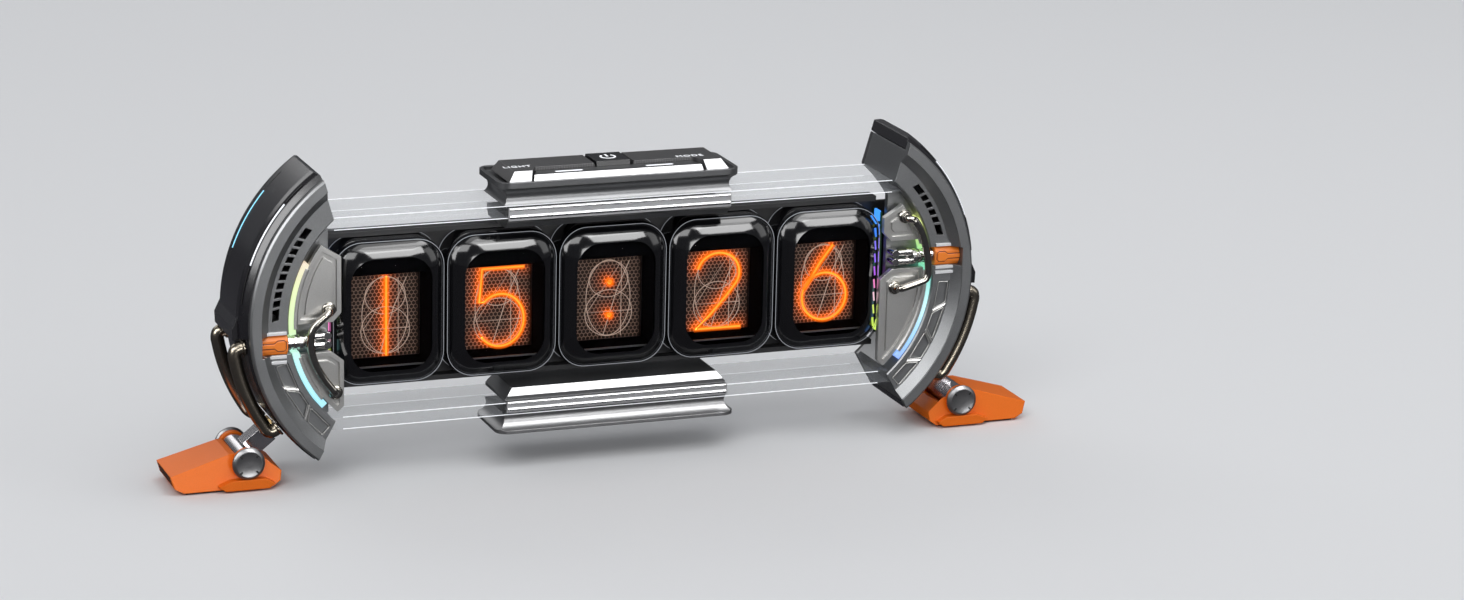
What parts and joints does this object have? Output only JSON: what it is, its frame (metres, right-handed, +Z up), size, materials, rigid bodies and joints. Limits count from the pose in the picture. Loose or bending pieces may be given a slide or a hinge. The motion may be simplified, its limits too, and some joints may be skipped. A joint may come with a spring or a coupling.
{
  "type": "led desk clock",
  "caption": "Desk clock with a row of glass digit cells between two arched end brackets, clear plates, a key bar on top and hinged orange feet.",
  "frame": {"origin": "on the desk under the middle of the clock", "axes": "+X to the viewer's right along the row of digits, +Y away from the viewer, +Z up"},
  "size_m": [0.2868, 0.031, 0.099],
  "materials": {
    "arch_grey": "satin",
    "shell_gloss": "gloss",
    "rear_black": "matte",
    "lamp_strip": "satin",
    "trim_silver": "satin",
    "handle_nickel": "gloss",
    "orange_trim": "satin",
    "hose_chrome": "gloss",
    "pipe_nickel": "gloss",
    "clear_plate": "gloss",
    "cell_glass": "gloss",
    "screen": "gloss",
    "tray_grey": "matte",
    "board_green": "matte",
    "speaker_black": "matte",
    "steel_plain": "satin",
    "bar_dark": "satin",
    "key_dark": "satin",
    "key_black": "gloss",
    "clamp_satin": "satin",
    "screw_steel": "satin",
    "leg_mirror": "mirror",
    "foot_orange": "satin",
    "sole_rubber": "matte",
    "pin_grey": "satin"
  },
  "bodies": {
    "frame": {"left_bracket": "arch_grey", "right_bracket": "arch_grey", "left_shell": "shell_gloss", "right_shell": "shell_gloss", "left_rear_cover": "rear_black", "right_rear_cover": "rear_black", "left_guide": "lamp_strip", "right_guide": "lamp_strip", "left_upper_trim": "trim_silver", "left_lower_trim": "trim_silver", "right_upper_trim": "trim_silver", "right_lower_trim": "trim_silver", "left_handle": "handle_nickel", "right_handle": "handle_nickel", "left_plug": "orange_trim", "right_plug": "orange_trim", "left_hose": "hose_chrome", "right_hose": "hose_chrome", "left_pipes": "pipe_nickel", "right_pipes": "pipe_nickel", "top_plate": "clear_plate", "bottom_plate": "clear_plate", "cell_1": "cell_glass", "cell_2": "cell_glass", "cell_3": "cell_glass", "cell_4": "cell_glass", "cell_5": "cell_glass", "display_1": "screen", "display_2": "screen", "display_3": "screen", "display_4": "screen", "display_5": "screen", "cell_tray": "tray_grey", "left_led_board": "board_green", "right_led_board": "board_green", "main_board": "board_green", "speaker": "speaker_black", "backup_cell": "steel_plain", "power_socket": "steel_plain", "back_cover": "rear_black", "top_bar": "bar_dark", "top_clamp": "bar_dark", "button_board": "board_green", "bottom_bar": "bar_dark", "bottom_clamp": "clamp_satin", "bracket_screws": "screw_steel", "tray_screws": "screw_steel", "cover_screws": "screw_steel", "bar_screws": "screw_steel", "left_leg": "leg_mirror", "right_leg": "leg_mirror"},
    "light_key": {"light_key": "key_dark"},
    "power_key": {"power_key": "key_black"},
    "mode_key": {"mode_key": "key_dark"},
    "left_foot": {"left_foot": "foot_orange", "left_pad": "sole_rubber", "left_pin": "pin_grey"},
    "right_foot": {"right_foot": "foot_orange", "right_pad": "sole_rubber", "right_pin": "pin_grey"}
  },
  "joints": [
    {"name": "light_press", "type": "slide", "parent": "frame", "child": "light_key", "axis": [0, 0, 1], "range_m": [-0.0008, 0], "stiffness_N_per_m": 700},
    {"name": "power_press", "type": "slide", "parent": "frame", "child": "power_key", "axis": [0, 0, 1], "range_m": [-0.0008, 0], "stiffness_N_per_m": 700},
    {"name": "mode_press", "type": "slide", "parent": "frame", "child": "mode_key", "axis": [0, 0, 1], "range_m": [-0.0008, 0], "stiffness_N_per_m": 700},
    {"name": "left_foot_turn", "type": "hinge", "parent": "frame", "child": "left_foot", "pos_m": [-0.11938, 0, 0.0088], "axis": [0, 1, 0], "range_deg": [-15, 15]},
    {"name": "right_foot_turn", "type": "hinge", "parent": "frame", "child": "right_foot", "pos_m": [0.11938, 0, 0.0088], "axis": [0, 1, 0], "range_deg": [-15, 15]}
  ]
}
